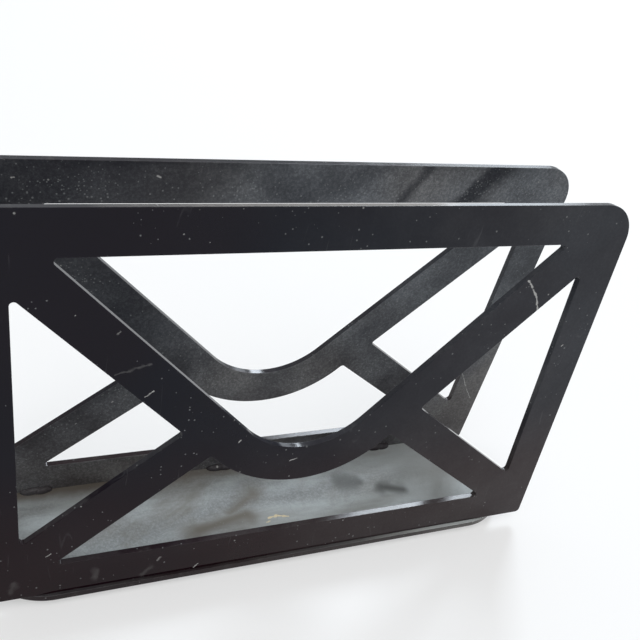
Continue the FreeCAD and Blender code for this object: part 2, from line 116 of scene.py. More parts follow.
# On the floor plate: how far its dusty middle reaches to each side, where its front ledge begins,
# how the ledge's film, a painted highlight, grows along it and ends, and where the dirty corner,
# also painted shade, and the painted sheen lie.
MIDDLE_SIDE, LEDGE_HIGHLIGHT_SIDE = (0.0202, 0.0192), (-0.0206, -0.0211)
LEDGE_HIGHLIGHT_RUN, LEDGE_HIGHLIGHT_END = (0.020, 0.062), (0.082, 0.070)
CORNER_DIRT_AND_SHADE_SIDE, CORNER_DIRT_AND_SHADE_RUN, PAINTED_SHEEN_RUN = (0.0150, 0.0215), (0.020, -0.030), (0.030, 0.072)

# The lamps: azimuth from +Y towards +X, elevation, distance, width, height, radiance and colour.
# They aim at a point this far above the table, and are raised by it.
AIM_HEIGHT = 0.05
LAMPS = {
    "window_upper_pane": (39.5, 38.0, 3.0, 0.74, 0.84, 26.0, WINDOW_LIGHT),
    "window_lower_pane": (41.0, 18.5, 3.0, 0.50, 0.66, 3.6, WINDOW_LIGHT),
    "low_window": (22.5, 15.8, 3.0, 1.50, 0.335, 1.9, LOW_LIGHT),
    "front_lamp": (190.0, 46.0, 2.2, 2.2, 1.5, 1.45, WHITE),
    "overhead": (190.0, 74.0, 2.2, 2.4, 1.6, 0.55, WHITE),
    "ceiling_lamp": (192.0, 72.0, 2.4, 0.70, 0.70, 3.2, CEILING_LIGHT),
}

# The table top's half width in metres, and the share of white that the camera and gloss see on it.
TABLE_REACH, TABLE_WHITENING = 6, 0.45

# The world is brighter towards the window: the way there, the limits along it, and the strengths.
SKY_WAY, SKY_LIMITS, SKY_STRENGTHS = (0.67, 0.74, 0.0), (-0.7, 0.7), (0.30, 0.68)

# The camera: film width and lens in millimetres, shift, place in metres and turn in degrees.
FILM_WIDTH, LENS, SHIFT = 36.0, 42.3334, (0.091939, 0.019629)
VIEWPOINT, VIEW_TURN = (-0.084225, -0.160694, 0.188136), (56.7389, -8.4629, -18.9211)


# ---------------------------------------------------------------------------------------------
# Meshes
# ---------------------------------------------------------------------------------------------
def rounded_outline(corners, radii, step=1.6, arc_step=0.35, least=6):
    """Points and outward normals along a closed outline whose corners are arcs.

    Each corner's arc is tangent to its two sides, so it starts radius * tan(half the turn) before
    the corner. A point on it is the arc's centre plus the radius times the outward normal, which
    turns evenly from one side's normal to the next. The outline has its material on the left.
    """
    corners, radii = np.array(corners, float), np.array(radii, float)
    sides = np.roll(corners, -1, 0) - corners
    lengths = np.linalg.norm(sides, axis=1)
    after = sides / lengths[:, None]
    before = np.roll(after, 1, 0)
    cross = before[:, 0] * after[:, 1] - before[:, 1] * after[:, 0]
    turn = np.arctan2(cross, (before * after).sum(1))
    trim = radii * np.tan(np.abs(turn) / 2)
    points, normals = [], []
    for i, corner in enumerate(corners):
        start = math.atan2(-before[i, 0], before[i, 1])
        count = max(least, math.ceil(radii[i] * abs(turn[i]) / arc_step))
        angles = start + np.linspace(0, turn[i], count, endpoint=False)
        around = np.stack([np.cos(angles), np.sin(angles)], 1)
        reach = math.copysign(radii[i], turn[i])
        centre = corner - before[i] * trim[i] - around[0] * reach
        points.append(centre + around * reach)
        normals.append(around)
        run = lengths[i] - trim[i] - trim[(i + 1) % len(corners)]
        along = np.linspace(0, run, max(1, math.ceil(run / step)), endpoint=False)[:, None]
        points.append(corner + after[i] * (trim[i] + along))
        normals.append(np.tile([after[i, 1], -after[i, 0]], (len(along), 1)))
    return np.concatenate(points), np.concatenate(normals)


def sheet_profile(thickness, reach, drop, rim, steps=6):
    """The section of a sheet's edge: offset outwards, depth, and the normal's two parts.

    It runs from a strip's width inside the first face, round a quarter ellipse that reaches
    further along the face than it drops, down the cut edge and round another one to the other
    face. An ellipse's normal is its sine over the reach and its cosine over the drop.
    """
    angle = np.linspace(0, math.pi / 2, steps)
    steep, flat = np.sin(angle) / reach, np.cos(angle) / drop
    size = np.hypot(steep, flat)
    first = np.stack([reach * (np.sin(angle) - 1), drop * (1 - np.cos(angle)),
                      steep / size, flat / size], 1)
    second = first[::-1] * [1, -1, 1, -1] + [0, thickness, 0, 0]
    return np.concatenate([[[-rim, 0, 0, 1]], first, second, [[-rim, thickness, 0, -1]]])


def inside_loop(points, loop):
    """Tell which points lie inside a closed loop: those whose row crosses its sides oddly often."""
    x, y = points[:, :1], points[:, 1:]
    x0, y0 = loop.T
    x1, y1 = np.roll(loop, -1, 0).T
    crosses = (y0 > y) != (y1 > y)
    rise = np.where(y1 == y0, 1, y1 - y0)
    return (crosses & (x < x0 + (y - y0) * (x1 - x0) / rise)).sum(1) % 2 == 1


def fill_face(loops, gap=1e-7):
    """Triangles that fill the first loop but for the others, which are holes in it."""
    points = np.concatenate(loops)
    starts = np.cumsum([0] + [len(loop) for loop in loops])
    edges = []
    for start, end in zip(starts, starts[1:]):
        ring = np.arange(start, end)
        edges += np.stack([ring, np.roll(ring, -1)], 1).tolist()
    made = geometry.delaunay_2d_cdt(points.tolist(), edges, [], 1, gap)
    source = np.array([where[0] for where in made[3]])
    triangles = source[np.array(made[2])]
    middles = points[triangles].mean(1)
    keep = inside_loop(middles, loops[0])
    for hole in loops[1:]:
        keep &= ~inside_loop(middles, hole)
    return triangles[keep]


def new_mesh(name, points, normals, faces, masks):
    """Make an object in metres from points in millimetres, its faces pointing outwards."""
    triangles = np.array([face[:3] for face in faces])
    quads = [face for face in faces if len(face) == 4]
    halves = np.array([[a, c, d] for a, _, c, d in quads]).reshape(-1, 3)
    solid = points[np.concatenate([triangles, halves])]
    if np.einsum("ij,ij->", solid[:, 0], np.cross(solid[:, 1], solid[:, 2])) < 0:
        faces = [face[::-1] for face in faces]
    mesh = bpy.data.meshes.new(name)
    mesh.from_pydata((points * MM).tolist(), [], faces)
    mesh.polygons.foreach_set("use_smooth", np.ones(len(faces), bool))
    for mask, values in masks.items():
        attribute = mesh.attributes.new(mask, "FLOAT", "POINT")
        attribute.data.foreach_set("value", values.astype(np.float32))
    if normals is not None:
        mesh.normals_split_custom_set_from_vertices(normals.tolist())
    mesh.update()
    piece = bpy.data.objects.new(name, mesh)
    bpy.context.scene.collection.objects.link(piece)
    return piece


def make_sheet(name, outlines, profile, place, dusty_first=False):
    """A flat cut sheet: its edge's section carried round every outline, and two filled faces.

    place takes points as (across, up, depth) arrays to the frame, and is a turn and a shift, so
    it takes the normals too. The dusty mask goes from nought on one face to one on the other.
    """
    across, faces, places, directions, rims, dusts = len(profile), [], [], [], [], []
    rim = np.clip(1 + profile[:, 0] / RIM, 0, 1)
    dusty = np.clip(profile[:, 1] / SHEET, 0, 1)
    if dusty_first:
        dusty = 1 - dusty
    count = 0
    for points, normals in outlines:
        grid = points[:, None] + normals[:, None] * profile[None, :, :1]
        depth = np.broadcast_to(profile[None, :, 1:2], grid.shape[:2] + (1,))
        places.append(np.concatenate([grid, depth], 2).reshape(-1, 3))
        outward = normals[:, None] * profile[None, :, 2:3]
        inward = np.broadcast_to(-profile[None, :, 3:4], grid.shape[:2] + (1,))
        directions.append(np.concatenate([outward, inward], 2).reshape(-1, 3))
        rims.append(np.tile(rim, len(points)))
        dusts.append(np.tile(dusty, len(points)))
        row = np.arange(len(points))[:, None] * across + np.arange(across - 1) + count
        following = np.roll(row, -1, 0)
        faces += np.stack([row, following, following + 1, row + 1], 2).reshape(-1, 4).tolist()
        count += len(points) * across
    inset = [points + normals * profile[0, 0] for points, normals in outlines]
    sizes = np.cumsum([0] + [len(loop) for loop in inset])
    owners = np.concatenate([np.arange(len(loop)) * across + start * across
                             for loop, start in zip(inset, sizes)])
    fill = owners[fill_face(inset)]
    faces += fill[:, ::-1].tolist() + (fill + across - 1).tolist()
    points, origin = place(np.concatenate(places)), place(np.zeros((1, 3)))
    normals = place(np.concatenate(directions)) - origin
    return new_mesh(name, points, normals, faces,
                    {"rim": np.concatenate(rims), "dusty": np.concatenate(dusts)})


def envelope_outlines():
    """The panel's outline and its four openings, as an envelope with a rounded flap."""
    flap_slope = (HEIGHT - FLAP_POINT) / HALF_LENGTH
    seam_slope = (SEAM_PEAK - SEAM_FOOT) / HALF_LENGTH
    flap_rise = FLAP_WIDTH / 2 * math.hypot(1, flap_slope)
    seam_rise = SEAM_WIDTH / 2 * math.hypot(1, seam_slope)
    side, top = HALF_LENGTH - BORDER, HEIGHT - BORDER
    flap_top, flap_low = FLAP_POINT + flap_rise, FLAP_POINT - flap_rise
    seam_top, seam_low = SEAM_PEAK + seam_rise, SEAM_PEAK - seam_rise
    lip = (top - flap_top) / flap_slope
    cleft = (seam_top - flap_low) / (flap_slope + seam_slope)
    crotch = (seam_low - flap_low) / (flap_slope + seam_slope)
    toe = (seam_low - SILL) / seam_slope
    opening = OPENING_RADIUS
    right = [(side, flap_low + flap_slope * side), (side, seam_top - seam_slope * side),
             (cleft, flap_low + flap_slope * cleft)]
    crotch_up = flap_low + flap_slope * crotch
    loops = [
        ([(-HALF_LENGTH, 0), (HALF_LENGTH, 0), (HALF_LENGTH, HEIGHT), (-HALF_LENGTH, HEIGHT)],
         [FOOT_RADIUS, FOOT_RADIUS, TOP_RADIUS, TOP_RADIUS]),
        ([(-lip, top), (lip, top), (0, flap_top)],
         [opening, opening, FLAP_BEND - FLAP_WIDTH / 2]),
        (right, [opening] * 3),
        ([(-across, up) for across, up in right[::-1]], [opening] * 3),
        ([(-toe, SILL), (-crotch, crotch_up), (0, flap_low), (crotch, crotch_up), (toe, SILL)],
         [opening, opening, FLAP_BEND + FLAP_WIDTH / 2, opening, opening]),
    ]
    return [rounded_outline(*loop) for loop in loops]


def panel_place(side):
    """Take a panel's (across, up its face, depth into the sheet) to the frame."""
    def place(points):
        across, up, depth = points.T
        out = PANEL_OFFSET - up * math.sin(LEAN) - depth * math.cos(LEAN)
        foot = FLOOR_TOP + SHEET * math.sin(LEAN)
        height = foot + up * math.cos(LEAN) - depth * math.sin(LEAN)
        return np.stack([across, side * out, height], 1)
    return place


def floor_place(points):
    """Take the floor plate's (along, deep, depth below its top) to the frame."""
    along, deep, depth = points.T
    return np.stack([along, deep, FLOOR_TOP - depth], 1)


def make_weld(name, middle, side, seed):
    """A tack weld in the inner corner: a short bead of a few frozen drops that overlap.

    Its reach from the corner line is its share of the leg, times a rounded envelope along the
    length, times a sum: its body, its drops, which are a rectified sine whose crests lag behind
    at the bead's two toes, its crown, and a slow wobble drawn for each weld.
    """
    rng = np.random.default_rng(seed)
    along = np.linspace(-1, 1, WELD_ROWS)[:, None]
    angle = np.linspace(0, math.pi / 2 - LEAN, WELD_COLUMNS)[None, :]
    envelope = np.clip(1 - np.abs(along) ** WELD_BLUNTNESS, WELD_END, 1) ** 0.5
    lag = CREST_LAG * np.cos(2 * angle)
    wave = np.sin(math.pi * (WELD_DROPS / 2 * along + lag + rng.uniform(0, 1)))
    drops = DROP_HEIGHT * np.abs(wave) ** DROP_ROUNDNESS
    crown = CROWN_HEIGHT * np.sin(2 * angle)
    wobble = (WOBBLE_HEIGHT * np.sin(WOBBLE_WAVES * along + rng.uniform(0, 6))
              * np.cos(angle * 2 + rng.uniform(0, 6)))
    reach = WELD_LEG * WELD_FILL * envelope * (WELD_BODY + drops + crown + wobble)
    place_along = np.broadcast_to(middle + along * WELD_LENGTH / 2, reach.shape)
    foot = PANEL_OFFSET - SHEET * math.cos(LEAN)
    skin = np.stack([place_along, side * (foot - reach * np.cos(angle)),
                     FLOOR_TOP + reach * np.sin(angle)], 2)
    spine = np.stack([place_along[:, 0], np.full(len(along), side * (foot + WELD_SINK)),
                      np.full(len(along), FLOOR_TOP - WELD_SINK)], 1)[:, None]
    grid = np.concatenate([spine, skin], 1)
    rows, columns = grid.shape[:2]
    index = np.arange(rows * columns).reshape(rows, columns)
    around = np.roll(index, -1, 1)
    quads = np.stack([index[:-1], around[:-1], around[1:], index[1:]], 2).reshape(-1, 4).tolist()
    ends = [index[0, ::-1].tolist(), index[-1].tolist()]
    caps = [[end[0], b, c] for end in ends for b, c in zip(end[1:], end[2:])]
    return new_mesh(name, grid.reshape(-1, 3), None, quads + caps, {})


# ---------------------------------------------------------------------------------------------
# Shader nodes
# ---------------------------------------------------------------------------------------------
def feed(tree, node, sockets):
    """Feed a node's named sockets with numbers, colours or other nodes' outputs."""
    for name, value in sockets.items():
        if isinstance(value, bpy.types.NodeSocket):
            tree.links.new(value, node.inputs[name])
        else:
            node.inputs[name].default_value = value


def add(tree, kind, sockets=None, output=0, **settings):
    """Add a node with its settings, feed its sockets, and return one of its outputs."""
    node = tree.nodes.new("ShaderNode" + kind)
    for name, value in settings.items():
        setattr(node, name, value)
    feed(tree, node, sockets or {})
    return node.outputs[output]


def calc(tree, operation, first, second=0.0, clamp=False):
    """A Math node."""
    return add(tree, "Math", {0: first, 1: second}, operation=operation, use_clamp=clamp)


def times(tree, first, second, clamp=False):
    """One value times another."""
    return calc(tree, "MULTIPLY", first, second, clamp)


def plus(tree, first, second, clamp=False):
    """The sum of two values."""
    return calc(tree, "ADD", first, second, clamp)


def minus(tree, first, second, clamp=False):
    """One value less another."""
    return calc(tree, "SUBTRACT", first, second, clamp)


def spread(tree, value, limits, results=(0.0, 1.0)):
    """A value's place between two limits, smoothed, and taken to two results."""
    return add(tree, "MapRange", {"Value": value, "From Min": limits[0], "From Max": limits[1],
                                  "To Min": results[0], "To Max": results[1]},
               interpolation_type="SMOOTHSTEP")


def noise(tree, vector, scale, detail=2.0, roughness=0.5, **more):
    """A Noise Texture's value."""
    return add(tree, "TexNoise", {"Vector": vector, "Scale": scale, "Detail": detail,
                                  "Roughness": roughness, **more})


def axes(tree, vector):
    """A vector's X, Y and Z outputs."""
    return add(tree, "SeparateXYZ", {"Vector": vector}).node.outputs


def mesh_mask(tree, name):
    """A mask that the mesh carries."""
    return add(tree, "Attribute", attribute_name=name, output="Fac")


def blend(tree, factor, first, second):
    """A colour mixed from two, each a socket or a tuple of red, green and blue."""
    node = tree.nodes.new("ShaderNodeMix")
    node.data_type = "RGBA"
    sockets = [node.inputs["Factor"]] + [s for s in node.inputs if s.type == "RGBA"]
    for socket, value in zip(sockets, (factor, first, second)):
        if isinstance(value, bpy.types.NodeSocket):
            tree.links.new(value, socket)
        else:
            socket.default_value = value if socket.type == "VALUE" else (*value, 1.0)
    return [s for s in node.outputs if s.type == "RGBA"][0]


def new_group(name, vectors, numbers, result="Mask"):
    """Start a shader node group that makes one number, and return its tree, inputs and end."""
    tree = bpy.data.node_groups.new(name, "ShaderNodeTree")
    for kind, sockets in (("NodeSocketVector", vectors), ("NodeSocketFloat", numbers)):
        for socket in sockets:
            tree.interface.new_socket(socket, in_out="INPUT", socket_type=kind)
    tree.interface.new_socket(result, in_out="OUTPUT", socket_type="NodeSocketFloat")
    given = tree.nodes.new("NodeGroupInput").outputs
    return tree, given, tree.nodes.new("NodeGroupOutput").inputs[result]


def use_group(tree, group, sockets):
    """Place a node group in a material with its own values."""
    node = tree.nodes.new("ShaderNodeGroup")
    node.node_tree = group
    feed(tree, node, sockets)
    return node.outputs[0]


def specks_group():
    """Scattered specks: the cells of a Voronoi pattern whose own number is above 1 - share.

    A slow noise gathers them, so that some places have many and others none.
    """
    tree, given, result = new_group("specks", ["Vector"], ["Scale", "Share", "Size"])
    cells = add(tree, "TexVoronoi", {"Vector": given["Vector"], "Scale": given["Scale"]})
    node = cells.node
    own = add(tree, "SeparateColor", {"Color": node.outputs["Color"]})
    gathered = spread(tree, noise(tree, given["Vector"], scale=46.0, detail=3.0, roughness=0.6),
                      limits=(0.42, 0.66), results=(0.25, 2.2))
    share = times(tree, given["Share"], gathered)
    chosen = calc(tree, "GREATER_THAN", own, minus(tree, 1.0, share))
    reach = times(tree, given["Size"], plus(tree, own.node.outputs[1], 0.4))
    near = minus(tree, 1.0, calc(tree, "DIVIDE", node.outputs["Distance"], reach), clamp=True)
    tree.links.new(times(tree, chosen, spread(tree, near, (0.0, 0.5))), result)
    return tree


def dust_group():
    """A film of dust: an even part and clouds at two scales, times a fine grain."""
    tree, given, result = new_group("dust", ["Vector"],
                                    ["Scale", "Amount", "Grain", "Patchy", "Contrast"])
    even, middling, swing = 0.6, 0.95, (-0.5, 0.5)
    vector = given["Vector"]
    clouds = spread(tree, noise(tree, vector, given["Scale"], detail=5.0, roughness=0.62),
                    limits=(0.3, 0.72), results=swing)
    large = spread(tree, noise(tree, vector, times(tree, given["Scale"], 0.22)),
                   limits=(0.35, 0.7), results=swing)
    cloud = plus(tree, even, times(tree, plus(tree, clouds, large), given["Patchy"]))
    coarse = spread(tree, noise(tree, vector, given["Grain"], roughness=0.6),
                    limits=(0.36, 0.68), results=(0.45, 1.45))
    fine = spread(tree, noise(tree, vector, times(tree, given["Grain"], 2.7), detail=1.0),
                  limits=(0.35, 0.72), results=(0.7, 1.5))
    grain = minus(tree, times(tree, coarse, fine), middling)
    grain = plus(tree, middling, times(tree, grain, given["Contrast"]))
    tree.links.new(times(tree, times(tree, cloud, grain), given["Amount"], clamp=True), result)
    return tree


def scratches_group():
    """Hair scratches: thin level lines of a stretched noise, broken by a second noise."""
    tree, given, result = new_group("scratches", ["Vector", "Stretch", "Turn"], ["Width"])
    turned = add(tree, "Mapping", {"Vector": given["Vector"], "Rotation": given["Turn"],
                                   "Scale": given["Stretch"]})
    level = noise(tree, turned, scale=1.0, detail=1.0, roughness=0.4)
    off = calc(tree, "ABSOLUTE", minus(tree, level, 0.5))
    line = spread(tree, off, (given["Width"], 0.0))
    gaps = spread(tree, noise(tree, given["Vector"], scale=95.0), (0.55, 0.66))
    tree.links.new(times(tree, line, gaps), result)
    return tree


def mark_group():
    """A mark along a straight stretch: one within the width of it, with a frayed, wandering edge.

    The edge's noise is as coarse as the mark is wide, so that a cloud's edge is smooth.
    """
    tree, given, result = new_group("mark", ["Vector", "Start", "End"],
                                    ["Width", "Fray", "Soft", "Strength"])

    def vector_math(operation, first, second, output=0):
        return add(tree, "VectorMath", {0: first, 1: second}, output, operation=operation)

    def scaled(vector, scale):
        return add(tree, "VectorMath", {0: vector, "Scale": scale}, operation="SCALE")

    coarse = calc(tree, "DIVIDE", 0.25, plus(tree, given["Width"], 0.0003))
    wander = add(tree, "TexNoise", {"Vector": given["Vector"], "Scale": coarse, "Detail": 3.0,
                                    "Roughness": 0.6}, output="Color")
    shift = scaled(vector_math("SUBTRACT", wander, (0.5, 0.5, 0.5)), given["Fray"])
    spot = vector_math("ADD", given["Vector"], shift)
    arm = vector_math("SUBTRACT", spot, given["Start"])
    way = vector_math("SUBTRACT", given["End"], given["Start"])
    share = calc(tree, "DIVIDE", vector_math("DOT_PRODUCT", arm, way, "Value"),
                 vector_math("DOT_PRODUCT", way, way, "Value"), clamp=True)
    gap = vector_math("DISTANCE", arm, scaled(way, share), "Value")
    ragged = noise(tree, given["Vector"], times(tree, coarse, 2.6))
    thin = times(tree, given["Width"], spread(tree, ragged, (0.35, 0.65), (0.5, 1.2)))
    mask = spread(tree, calc(tree, "DIVIDE", gap, thin), (1.0, given["Soft"]))
    tree.links.new(times(tree, mask, given["Strength"]), result)
    return tree


def peel_group():
    """Height of sprayed paint: orange peel and grit over a slow waviness of the sheet."""
    tree, given, result = new_group("peel", ["Vector"], ["Peel", "Depth", "Grit", "Wave"], "Height")
    vector = given["Vector"]
    fine = times(tree, noise(tree, vector, given["Peel"], roughness=0.55), given["Depth"])
    grit = times(tree, noise(tree, vector, scale=2100.0, detail=1.0), given["Grit"])
    slow = times(tree, noise(tree, vector, scale=38.0, detail=1.0, roughness=0.4), given["Wave"])
    tree.links.new(plus(tree, plus(tree, fine, grit), slow), result)
    return tree


SPECKS, DUST, SCRATCHES = specks_group(), dust_group(), scratches_group()
MARK, PEEL = mark_group(), peel_group()


# ---------------------------------------------------------------------------------------------
# Materials
# ---------------------------------------------------------------------------------------------
def new_material(name):
    """Start a material, and return it with its tree, its shader and its Object coordinates."""
    material = bpy.data.materials.new(name)
    material.use_nodes = True
    tree = material.node_tree
    shader = tree.nodes["Principled BSDF"]
    return material, tree, shader, add(tree, "TexCoord", output="Object")


def add_relief(tree, shader, height, distance):
    """Feed the shader's Normal with a height map."""
    bump = add(tree, "Bump", {"Height": height, "Distance": distance})
    tree.links.new(bump, shader.inputs["Normal"])


def marks_along(tree, vector, marks):
    """The strongest of several marks.

    Each is its start, end, width and fray in millimetres, and its softness and strength.
    """
    total = None
    for start, end, width, fray, soft, strength in marks:
        mark = use_group(tree, MARK, {
            "Vector": vector, "Start": [c * MM for c in start], "End": [c * MM for c in end],
            "Width": width * MM, "Fray": fray * MM, "Soft": soft, "Strength": strength})
        total = mark if total is None else calc(tree, "MAXIMUM", total, mark)
    return total


def black_paint(tree, where, place):
    """The bare paint's colour: blue-black, with a purple painted reflection that grows towards the
    foot.
    """
    clouds = spread(tree, noise(tree, where, scale=14.0, detail=3.0), (0.35, 0.65), (0.0, 0.3))
    # Painted reflection: a purple tint that grows towards the foot.
    painted_reflection = times(tree, spread(tree, place["Z"], PAINTED_REFLECTION_RUN), 0.8)
    return blend(tree, plus(tree, clouds, painted_reflection, clamp=True), BLACK_ABOVE, PURPLE_PAINTED_REFLECTION)


def gloss_paint(name, clean=(0.008, 0.17), dusty=1.05, smooth=0.055, dull=0.30, patchy=0.42,
                contrast=0.42, specks=1.0, cool_dust=COOL_DUST, warm_dust=WARM_DUST, marks=(),
                reflection_streaks=(), dust_and_highlight_part=None, stains_and_painted_light=None, gather=True, edge=(0.16, 0.16)):
    """Black gloss paint, clean on one face and dusty on the other, with lint, scratches and wear.

    clean is the amount of the clean face's hazy film at the sorter's left and right end, dusty the
    film's amount on the other face, and smooth and dull are their roughness. Where gather is on,
    the dusty face's film also grows towards the right end and the foot. The streaks of painted
    reflection given as wipes thin it. dust_and_highlight_part narrows the dusty face to a part of
    it, which on the floor plate takes in a front ledge whose film is a painted highlight. stains
    paints dried water and dirt over the dust, and on the floor plate painted shadows, shade and
    sheen too, and edge is the hazy film that the cut edges add, away from the right end and at it,
    at the floor plate's right end a painted highlight.
    """
    material, tree, shader, where = new_material(name)
    part = spread(tree, mesh_mask(tree, "dusty"), DUSTY_LIMITS)
    if dust_and_highlight_part is not None:
        part = times(tree, part, dust_and_highlight_part(tree, where))
    rim = mesh_mask(tree, "rim")
    place = axes(tree, where)
    low = spread(tree, place["Z"], FOOT_RUN)

    def by_face(on_clean, on_dusty):
        """A value that differs between the clean and the dusty face."""
        return spread(tree, part, TURNOVER, (on_clean, on_dusty))

    # The film's amount: the dusty face's dust, and the clean face's hazy film with its cut edges.
    # On the floor plate the ledge's film and the right end's cut edges are a painted highlight.
    amount = dusty
    if gather:
        right = spread(tree, place["X"], FILM_RUN, (0.24, 1.0))
        foot = times(tree, low, spread(tree, place["X"], FOOT_FILM_RUN, (0.75, 0.15)))
        amount = times(tree, plus(tree, right, foot), dusty)
    # Painted reflection: the streaks thin the dusty film, so that it is darker there.
    if reflection_streaks:
        amount = times(tree, amount, minus(tree, 1.0, marks_along(tree, where, reflection_streaks)))
    haze_and_edge_highlight = spread(tree, place["X"], HAZE_RUN, clean)
    # On the floor plate, the cut edges' film at the right end is a painted highlight.
    edge_haze_and_highlight = spread(tree, place["X"], EDGE_HAZE_AND_HIGHLIGHT_RUN, edge)
    haze_and_edge_highlight = plus(tree, haze_and_edge_highlight, spread(tree, rim, CUT_EDGE, (0.0, edge_haze_and_highlight)))
    share = by_face(0.0, 1.0)
    amount = plus(tree, times(tree, amount, share),
                  times(tree, haze_and_edge_highlight, minus(tree, 1.0, share)))
    film = use_group(tree, DUST, {"Vector": where, "Scale": 48.0, "Grain": 1250.0,
                                  "Patchy": patchy, "Contrast": by_face(0.2, contrast),
                                  "Amount": amount})

    # The dust's tone over the paint's, and the stains over both; on the floor plate these include
    # painted shadows, shade and sheen.
    warm = times(tree, spread(tree, noise(tree, where, scale=19.0), (0.4, 0.62)), 0.6)
    warm = plus(tree, warm, times(tree, low, 0.4))
    colour = blend(tree, film, black_paint(tree, where, place),
                   blend(tree, warm, cool_dust, warm_dust))
    if stains_and_painted_light is not None:
        colour = stains_and_painted_light(tree, where, part, colour)

    # Fine wear: hair scratches, worn rims, motes and lint, and then the marks, which are chips and,
    # on the welds, painted glints.
    hair = use_group(tree, SCRATCHES, {"Vector": where, "Stretch": (150.0, 90.0, 16.0),
                                       "Turn": (0.0, 0.55, 0.2), "Width": 0.008})
    scuffs = noise(tree, where, scale=260.0, detail=4.0, roughness=0.7)
    worn = times(tree, spread(tree, rim, RIM_WEAR), spread(tree, scuffs, (0.52, 0.8)))
    lint_share = spread(tree, part, (0.0, 1.0), (0.018 * specks, 0.035 * specks))
    lint = use_group(tree, SPECKS, {"Vector": where, "Scale": 640.0, "Size": 0.17,
                                    "Share": lint_share})
    mote_share = spread(tree, part, (0.0, 1.0), (0.05 * specks, 0.40 * specks))
    motes = use_group(tree, SPECKS, {"Vector": where, "Scale": 1250.0, "Size": 0.32,
                                     "Share": mote_share})
    for factor, mask, shade in ((0.22, hair, HAIR_SCRATCH), (0.16, worn, WORN_EDGE),
                                (0.42, motes, MOTE), (0.62, lint, LINT)):
        colour = blend(tree, times(tree, mask, factor), colour, shade)
    # The marks are chips, and on the welds painted glints.
    if marks:
        chip_and_glint = marks_along(tree, where, marks)
        colour = blend(tree, chip_and_glint, colour, CHIP_AND_GLINT)
    tree.links.new(colour, shader.inputs["Base Color"])

    # Roughness: slow smears, and more under film, lint, chips and painted glints.
    smear = spread(tree, noise(tree, where, scale=42.0, detail=3.0, roughness=0.6, Distortion=0.6),
                   limits=(0.42, 0.72), results=(0.0, 0.06))
    rough = plus(tree, smear, by_face(smooth, dull))
    rough = plus(tree, rough, times(tree, film, 0.45))
    rough = plus(tree, rough, times(tree, lint, 0.4), clamp=True)
    if marks:
        rough = calc(tree, "MAXIMUM", rough, times(tree, chip_and_glint, 0.7))
    tree.links.new(rough, shader.inputs["Roughness"])

    # Height: the sprayed paint, lint, chips and painted glints proud of it, and scratches in it.
    height = use_group(tree, PEEL, {"Vector": where, "Peel": 620.0, "Wave": 6.0,
                                    "Depth": by_face(0.3, 0.9), "Grit": by_face(0.0, 0.55)})
    height = plus(tree, height, times(tree, lint, 2.0))
    height = minus(tree, height, times(tree, hair, 0.4))
    if marks:
        height = plus(tree, height, times(tree, chip_and_glint, 3.0))
    add_relief(tree, shader, height, PAINT_RELIEF)
    shader.inputs["IOR"].default_value = PAINT_IOR
    return material


def middle_and_ledge_highlight(tree, where):
    """The floor plate's dusty middle between the panels, and its front ledge towards the right end,
    whose film is a painted highlight.
    """
    place = axes(tree, where)
    middle = spread(tree, calc(tree, "ABSOLUTE", place["Y"]), MIDDLE_SIDE)
    # Painted highlight: the front ledge's film, growing towards the right end.
    ledge = times(tree, spread(tree, place["Y"], LEDGE_HIGHLIGHT_SIDE),
                  spread(tree, place["X"], LEDGE_HIGHLIGHT_RUN, (0.19, 0.92)))
    ledge = times(tree, ledge, spread(tree, place["X"], LEDGE_HIGHLIGHT_END))
    return calc(tree, "MAXIMUM", middle, ledge)


# On the floor plate: width, fray, softness and strength, then each stretch's two ends. Painted
# shadows, two dark patches towards the right end, brown clouds left of the middle, and a yellow
# fibre's three bits.
FLOOR_PAINTED_SHADOWS = [(6.2, 0.9, 0.0, 0.85, [(31.0, 4.4, 38.0, 3.0)]),
                 (6.6, 0.9, 0.0, 0.90, [(45.5, -0.8, 52.5, -3.4)])]
FLOOR_CLOUDS = [(8.5, 3.0, 0.0, 0.9, [(-24, -7, -7, -3.5)]),
                (7.0, 3.0, 0.0, 0.75, [(-12, -2, -2, 5)])]
FLOOR_FIBRE = [(0.55, 1.2, 0.5, 1.0, [(0.2, -6.6, 3.5, -6.1), (3.5, -6.1, 6.9, -7.2)]),
               (0.4, 1.2, 0.5, 0.8, [(-1.2, -8.2, 0.4, -7.9)])]


def placed_marks(rows, to_frame):
    """Marks from rows of width, fray, softness, strength and stretches of two ends each."""
    return [(to_frame(a0, b0), to_frame(a1, b1), width, fray, soft, strength)
            for width, fray, soft, strength, stretches in rows for a0, b0, a1, b1 in stretches]


def on_floor(along, deep):
    """A point of the floor plate's upper face."""
    return along, deep, FLOOR_TOP


